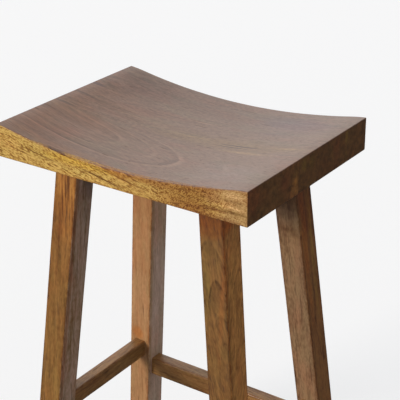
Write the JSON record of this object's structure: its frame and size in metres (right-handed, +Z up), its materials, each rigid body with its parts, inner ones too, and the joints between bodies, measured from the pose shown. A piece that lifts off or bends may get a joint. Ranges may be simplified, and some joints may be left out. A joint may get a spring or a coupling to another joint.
{
  "type": "wooden bar stool",
  "caption": "Backless bar stool of solid wood: a thick rectangular seat dished from end to end, on splayed square legs tied by rails near the floor.",
  "frame": {"origin": "on the floor, midway between the four feet", "axes": "+X along the long side of the seat, +Y from the front to the back, +Z up"},
  "size_m": [0.45, 0.332, 0.7498],
  "materials": {
    "seat_wood": "streaky golden to grey-brown wood, waxed to a soft sheen",
    "leg_wood": "warm brown wood with long upright grain, waxed",
    "rail_wood": "warm brown wood with grain along the rail, waxed",
    "dowel_wood": "bare pale hardwood",
    "glide_plastic": "dark moulded nylon, scuffed by the floor",
    "nail_steel": "bright drawn steel"
  },
  "bodies": {
    "root": {"seat_front_stave": "seat_wood", "seat_middle_stave": "seat_wood", "seat_back_stave": "seat_wood", "leg_back_right": "leg_wood", "seat_dowels_back_right": "dowel_wood", "glide_back_right": "glide_plastic", "glide_nail_back_right": "nail_steel", "leg_back_left": "leg_wood", "seat_dowels_back_left": "dowel_wood", "glide_back_left": "glide_plastic", "glide_nail_back_left": "nail_steel", "leg_front_right": "leg_wood", "seat_dowels_front_right": "dowel_wood", "glide_front_right": "glide_plastic", "glide_nail_front_right": "nail_steel", "leg_front_left": "leg_wood", "seat_dowels_front_left": "dowel_wood", "glide_front_left": "glide_plastic", "glide_nail_front_left": "nail_steel", "back_rail": "rail_wood", "front_rail": "rail_wood", "right_rail": "rail_wood", "left_rail": "rail_wood"}
  },
  "joints": []
}
